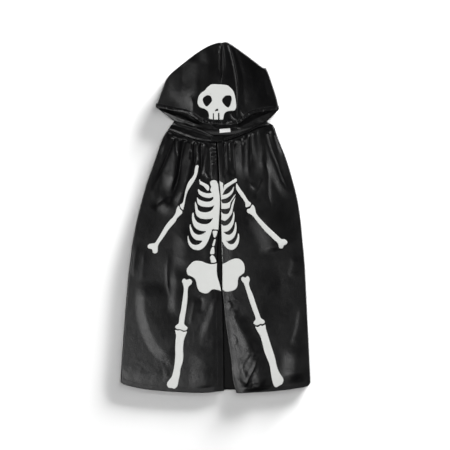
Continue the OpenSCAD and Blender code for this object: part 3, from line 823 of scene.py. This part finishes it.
# ---------------------------------------------------------------- joining to the bodies

def across(hinge, side, before, after):
    """Start and end of a blend square to a hinge, in metres; side is 1 where the free cloth lies at +X."""
    (x0, y0), (x1, y1) = hinge
    n = np.array([y0 - y1, x1 - x0]) / math.hypot(x1 - x0, y1 - y0) * side
    a, b = np.array([x0, y0]) - before * n, np.array([x0, y0]) + after * n
    return (a[0] * MM, a[1] * MM, 0), (b[0] * MM, b[1] * MM, 0)


def on_right(piece):
    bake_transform(piece)


def on_left(piece):
    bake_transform(piece)


def on_root(piece):
    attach(piece, "root")


def on_hood(piece):
    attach(piece, "hood")


def on_tab(piece):
    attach(piece, "closure_tab")


def finish_piece(piece, join, slot, *nodes):
    """Hands a piece to join and lets it stand for CAD nodes by hiding them; slot is not used."""
    join(piece)
    if nodes:
        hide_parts(*nodes)
    return piece


# ---------------------------------------------------------------- cloth

def right_height(x, y):
    crumple = 0.03 + 0.08 * fade(-330 - y, 80)
    return front_height(x, y, SIDE_R, EDGE_R, HEM_R, SEAM_R, FOLDS_R, BANKS_R, crumple, 101)


def left_height(x, y):
    by_opening = 0.6 * np.exp(-(((y + 240) / 30) ** 2) - ((x - 38) / 20) ** 2)
    by_hem = 0.45 * np.exp(-(((x - 72) / 46) ** 4)) * fade(-325 - y, 50)
    crumple = 0.03 + by_hem + by_opening
    return front_height(x, y, SIDE_L, EDGE_L, HEM_L, SEAM_L, FOLDS_L, BANKS_L, crumple, 201)


# The last two numbers of each grid are its points across and along
right_grid = coons(SEAM_R, HEM_R, SIDE_R, EDGE_R, 150, 400)
left_grid = coons(SEAM_L, HEM_L, SIDE_L, EDGE_L, 140, 400)
front_right = sheet_of("front_right_cloth", right_grid, right_height, SATIN)
front_left = sheet_of("front_left_cloth", left_grid, left_height, SATIN)
back_sides = [[NAPE[k]] + side[:-1] + [HEM_B[k]] for side, k in ((SIDE_R, 0), (SIDE_L, -1))]
back = sheet_of("back_cloth", coons(NAPE, HEM_B, *back_sides, 120, 160), back_height, SATIN_BACK, THIN)

fields = {"right": tree(front_right), "left": tree(front_left)}

hood_right = sheet_of("hood_right_cloth", ruled(BROW_R, CROWN_R, 110, 150), hood_height, SATIN)
hood_left = sheet_of("hood_left_cloth", ruled(BROW_L, CROWN_L, 110, 150), hood_height, SATIN)
fields["hood"] = tree(hood_right, hood_left)

INNER_LOW = pairs(-155, 288, -108, 252, -70, 228, -30, 220, 11, 218, 50, 220, 95, 229, 133, 251, 165, 282)
inner_grid = ruled(INNER_LOW, CROWN_R + CROWN_L[1:], 150, 100)
inner = sheet_of("hood_inner_cloth", inner_grid, inner_hood_height, SATIN, THIN)

finish_piece(front_right, on_right, "satin", "front_right_panel", "side_fold_right")
finish_piece(front_left, on_left, "satin", "front_left_panel", "side_fold_left")
finish_piece(back, on_root, "satin", "back_panel")
finish_piece(hood_right, on_hood, "satin", "hood_right_panel")
finish_piece(hood_left, on_hood, "satin", "hood_left_panel")
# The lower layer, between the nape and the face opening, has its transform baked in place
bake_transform(inner)

# ---------------------------------------------------------------- prints


def clip(ring, edge, side, gap=0.7):
    """A print cut off a gap inside the cloth's edge; side is 1 where the cloth lies at +X of the edge."""
    line = spline(edge, 200)[::-1]
    limit = np.interp(ring[:, 1], line[:, 1], line[:, 0]) + gap * side
    x = np.maximum(ring[:, 0], limit) if side > 0 else np.minimum(ring[:, 0], limit)
    return np.column_stack([x, ring[:, 1]])


def straight(points, step=1.5):
    """A polyline with its corners kept and points added along it."""
    out = []
    for a, b in zip(points[:-1], points[1:]):
        n = max(1, int(math.dist(a, b) / step))
        out += [(a[0] + (b[0] - a[0]) * k / n, a[1] + (b[1] - a[1]) * k / n) for k in range(n)]
    return np.array(out)


skull = np.vstack([spline(SKULL, 200), straight(TEETH + [SKULL[0]])])
face = film("print_skull_film", [skull], [closed(EYE_R), closed(EYE_L), closed(NOSE, 0.8)], fields["hood"])
finish_piece(face, on_hood, "print_film", "print_skull")

BONES_RIGHT = {
    "print_upper_arm_right": [HUMERUS_R],
    "print_forearm_right": [FOREARM_R],
    "print_ribs_right": [STERNUM_R, CLAVICLE_R, RIB_1_R, RIB_2_R, RIB_3_R, LOW_RIBS_R],
    "print_spine": [SPINE_1, SPINE_2, SPINE_3, SPINE_4],
    "print_pelvis_right": [PELVIS_R],
    "print_thigh_right": [FEMUR_R],
    "print_shin_right": [TIBIA_R],
}
BONES_LEFT = {
    "print_upper_arm_left": [HUMERUS_L],
    "print_forearm_left": [FOREARM_L],
    "print_ribs_left": [STERNUM_L, CLAVICLE_L, RIB_1_L, RIB_2_L, RIB_3_L, RIB_4_L, RIB_5_L, RIB_6_L,
                        SLIVER_1, SLIVER_2, SLIVER_3],
    "print_pelvis_left": [PELVIS_L],
    "print_thigh_left": [FEMUR_L],
    "print_shin_left": [TIBIA_L],
}


def print_bones(table, edge, side, field, join):
    """The films of one front, one for each row of the table."""
    films = []
    for name, bones in table.items():
        rings = [clip(closed(bone), edge, side) for bone in bones]
        films.append(finish_piece(film(name + "_film", rings, [], fields[field]), join, "print_film", name))
    return films


prints_right = print_bones(BONES_RIGHT, EDGE_R, -1, "right", on_right)
prints_left = print_bones(BONES_LEFT, EDGE_L, 1, "left", on_left)

# ---------------------------------------------------------------- neckband and facings

def band_height(end, seed, over=26):
    """Height of the gathered neckband; near end, over a distance in mm, it goes over to the back."""
    def height(x, y):
        nt, ns = x.shape
        t = np.linspace(0, 1, nt)[:, None] * np.ones((1, ns))  # 0 at the hood, 1 at the seam
        z = 7.2 - 2.2 * fade(0.14 - t, 0.14)
        z += 2.2 * np.exp(-(((t - 0.72) / 0.2) ** 2))
        z -= 0.9 * fade(t - 0.9, 0.1)
        z += 0.8 * np.exp(-(((t - 0.2) / 0.1) ** 2)) + 0.5 * noise(x, y, 14, seed + 1)
        z += 0.5 * noise(x, y, 8, seed, 4) * (0.3 + 0.7 * t) * fade(1.1 - t, 0.3)
        return 1.2 + (z - 1.2) * roll(np.hypot(x - end[0], y - end[1]), over)
    return height


band_r = sheet_of("neckband_right_cloth", ruled(BAND_R, SEAM_R, 130, 12),
                  band_height((-116, 242), 401), SATIN, BAND)
band_l = sheet_of("neckband_left_cloth", ruled(BAND_L, SEAM_L, 130, 12),
                  band_height((142, 247), 421), SATIN, BAND)
fields["band_right"] = tree(band_r)
fields["band_left"] = tree(band_l)
finish_piece(band_r, on_right, "satin", "neckband_right")
finish_piece(band_l, on_left, "satin", "neckband_left")


def under(field, gap):
    """A height that keeps a gap below a sheet."""
    def height(x, y):
        return (drop(field, x.ravel(), y.ravel()) - gap).reshape(x.shape)
    return height


def facing(name, edge, side, field, join):
    """The strip turned in under a front edge; side is 1 where the cloth lies at +X of the edge."""
    strip = ruled(offset_path(edge, 1.2 * side, 60), offset_path(edge, FACING * side, 60), 200, 7)
    piece = sheet_of(name + "_cloth", strip, under(fields[field], 1.0), SATIN, THIN)
    return finish_piece(piece, join, "satin", name)


facing_r = facing("front_right_facing", EDGE_R, -1, "right", on_right)
facing_l = facing("front_left_facing", EDGE_L, 1, "left", on_left)

# ---------------------------------------------------------------- hood rim

def rim_roll(name, brow, ns=240, inward=4.4, reach=4.6, thick=0.9):
    """The hood's turned and stitched rim: a puckered roll that wraps the cloth's edge."""
    line = spline(brow, ns)
    normal = normals(line)
    angles = np.radians(np.linspace(0, 225, 15))
    far = np.linspace(0, length_of(line), ns)
    rows, flat = [], []
    for k, a in enumerate(angles):
        out = inward + reach * math.cos(a)
        xy = line + normal * out
        base = hood_height(*(line + normal * max(out, 1.5)).T)
        pucker = 0.5 * noise(far, far * 0 + k * 1.3, 4.2, 501) + 0.35 * noise(far, far * 0, 11, 502)
        z = base + 0.1 + thick * math.sin(a) * (1 + pucker * 1.3)
        rows.append(np.column_stack([xy, z]))
        flat.append(np.column_stack([far, far * 0 + k * 1.2]))
    return make(name, np.vstack(rows), grid_faces(ns, len(angles), False), SATIN, np.vstack(flat), CLOTH)


BROW = BROW_R + BROW_L[1:]
rim = rim_roll("hood_rim_roll", BROW)
finish_piece(rim, on_hood, "satin", "hood_rim_hem")

# ---------------------------------------------------------------- back of the neck

nape_top = offset_path(NAPE, 13, 60)
nape_band = sheet_of("neckband_back_cloth", ruled(NAPE, nape_top, 120, 8),
                     lambda x, y: 2.3 + 0.35 * noise(x, y, 7, 441, 4), SATIN, 0.8)
finish_piece(nape_band, on_root, "satin", "neckband_back")
tape = sheet_of("neck_binding", ruled(offset_path(NAPE, -1, 60), offset_path(NAPE, 7.5, 60), 120, 5),
                lambda x, y: 2.9 + 0.25 * noise(x, y, 6, 443, 4), BINDING, THIN)
finish_piece(tape, on_root, "binding", "neck_tape")


def label(name, x, y, length, width, turn, z, thick, bend=0.5):
    """A woven label, sewn flat at its ends and slightly bowed between."""
    u, v = np.moveaxis(rectangle(0, length, 0, width, 29, 13), -1, 0)
    c, s = math.cos(turn), math.sin(turn)
    grid = np.stack([x + c * u - s * v, y + s * u + c * v], -1)
    height = z + bend * np.sin(math.pi * u / length) ** 0.8
    return sheet_of(name, grid, lambda gx, gy: height, LABEL, thick)


brand = label("neck_label", 11, 221, length=28, width=10, turn=math.radians(5), z=3.6, thick=0.35)
finish_piece(brand, on_root, "label", "brand_label")
care = label("care_label_leaf", 205, -300, length=22, width=45, turn=0, z=2.0, thick=0.3)
finish_piece(care, on_root, "label", "care_label")

# ---------------------------------------------------------------- closure

for name, join in (("loop_patch", on_right), ("hook_patch", on_tab)):
    (x0, y0, z0), (x1, y1, z1) = (np.array(corner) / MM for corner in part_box(name))
    piece = sheet_of(name + "_tape", rectangle(x0, x1, y0, y1, 15, 13),
                     lambda x, y: z1 + 0.08 * noise(x, y, 3, 451), HOOKS, z1 - z0)
    finish_piece(piece, join, "hook_and_loop", name)

TAB_TIP, TAB_ROOT, TAB_LOW, TAB_HIGH, TAB_TOP = -13, 20, 198, 212, 11.0


def tab_height(x, y):
    """Height of the tab's upper face, slightly bowed and pressed thin at its edges."""
    z = TAB_TOP + 0.35 * np.sin((x - TAB_TIP) / (TAB_ROOT - TAB_TIP) * math.pi) + 0.12 * noise(x, y, 6, 461)
    edge = np.minimum(np.minimum(y - TAB_LOW, TAB_HIGH - y), x - TAB_TIP)
    return z - 0.5 * (1 - roll(edge, 1.6))


tab_grid = rectangle(TAB_TIP, TAB_ROOT, TAB_LOW, TAB_HIGH, 45, 23)
tab = sheet_of("closure_tab_cloth", tab_grid, tab_height, SATIN, 0.7)
finish_piece(tab, on_tab, "satin", "closure_tab")

# ---------------------------------------------------------------- stitching


BAND_ROW, RIM_ROW = 2.2, 10.4  # distances of stitches from the neckband's seam and from the hood's edge


def sew(name, points, distance, trim, field, join):
    """A row of stitches along a curve moved to its left by a distance and trimmed to shares of its length."""
    path = offset_path(points, distance, trim=trim)
    return finish_piece(stitches(name, path, fields[field]), join, "satin")


seams_right = [sew("stitch_edge_right", EDGE_R, -FACING, (0.03, 0.98), "right", on_right),
               sew("stitch_hem_right", HEM_R[2:], HEM, (0.02, 0.96), "right", on_right)]
seams_left = [sew("stitch_edge_left", EDGE_L, FACING, (0.03, 0.98), "left", on_left),
              sew("stitch_hem_left", HEM_L[3:], -HEM, (0.02, 0.96), "left", on_left)]
seam_band_r = sew("stitch_band_right", SEAM_R, BAND_ROW, (0.12, 0.98), "band_right", on_right)
seam_rim = sew("stitch_rim", BROW, RIM_ROW, (0.04, 0.96), "hood", on_hood)
seam_band_l = sew("stitch_band_left", SEAM_L, -BAND_ROW, (0.12, 0.98), "band_left", on_left)

# ---------------------------------------------------------------- stage

FLOOR_SIZE, FLOOR_DROP = 40, 0.0002  # in metres
GLOW_START, GLOW_FULL = 0.95, 2.6  # distances from the middle of the cape in metres
bpy.ops.mesh.primitive_plane_add(size=FLOOR_SIZE, location=(0, 0, -FLOOR_DROP))
floor = bpy.context.object
floor.name = "floor"
white = Nodes("floor", Roughness=0.9, Specular_IOR_Level=0.1)
white.shader.inputs["Base Color"].default_value = (0.3, 0.3, 0.3, 1)
# Beyond the reach of the lamps the floor glows white itself, as a backlit sweep does
far_off = white.add("ShaderNodeVectorMath", operation="LENGTH")
white.link(white.where("Object"), far_off.inputs[0])
white.shader.inputs["Emission Color"].default_value = (1, 1, 1, 1)
glow = white.ramp(far_off.outputs["Value"], 0.0, 1.0, start=GLOW_START, end=GLOW_FULL)
white.link(glow, white.shader.inputs["Emission Strength"])
white.material.cycles.emission_sampling = "NONE"
floor.data.materials.append(white.material)

world = bpy.data.worlds.new("studio")
world.use_nodes = True
sky = world.node_tree.nodes["Background"].inputs
sky["Color"].default_value = (1, 1, 1, 1)
sky["Strength"].default_value = 0.02
bpy.context.scene.world = world


def softbox(name, azimuth, elevation, distance, width, height, power):
    """An area light aimed at the middle of the cape; angles in degrees, lengths in metres, power in watts;
    azimuth runs from +X towards +Y."""
    data = bpy.data.lights.new(name, "AREA")
    data.shape = "RECTANGLE"
    data.size, data.size_y = width, height
    data.energy = power
    lamp = bpy.data.objects.new(name, data)
    a, e = math.radians(azimuth), math.radians(elevation)
    way = Vector((math.cos(a) * math.cos(e), math.sin(a) * math.cos(e), math.sin(e)))
    lamp.location = way * distance
    lamp.rotation_euler = way.to_track_quat("Z", "Y").to_euler()
    lamp.visible_camera = False
    bpy.context.scene.collection.objects.link(lamp)
    return lamp


# name, azimuth, elevation, distance, width, height, power
for lamp in (("key", 48, 26, 5, 4.4, 2.6, 225), ("left", 185, 32, 5, 2.0, 1.5, 34),
             ("left panel", 210, 62, 4, 2.6, 0.9, 94), ("right panel", 335, 58, 4, 1.8, 0.8, 6)):
    softbox(*lamp)

# A low lamp for the floor alone gives the wide soft shadow at the left and below
floor_only = bpy.data.collections.new("lit by the low lamp")
floor_only.objects.link(floor)
low = softbox("floor lamp", 54, 4.7, 7, 3.2, 0.7, 15000)
low.light_linking.receiver_collection = floor_only

# The photograph is taken from straight above and shows 1.17 m from edge to edge
CAMERA_HEIGHT, VIEW, SENSOR = 3.2, 1.17, 36
MIDDLE = (0.0247, -0.0182)  # of the photograph, in the frame of the model
camera_data = bpy.data.cameras.new("camera")
camera_data.sensor_width = SENSOR
camera_data.lens = SENSOR * CAMERA_HEIGHT / VIEW
camera = bpy.data.objects.new("camera", camera_data)
camera.location = (*MIDDLE, CAMERA_HEIGHT)
bpy.context.scene.collection.objects.link(camera)
bpy.context.scene.camera = camera
bpy.context.scene.view_settings.view_transform = "Standard"
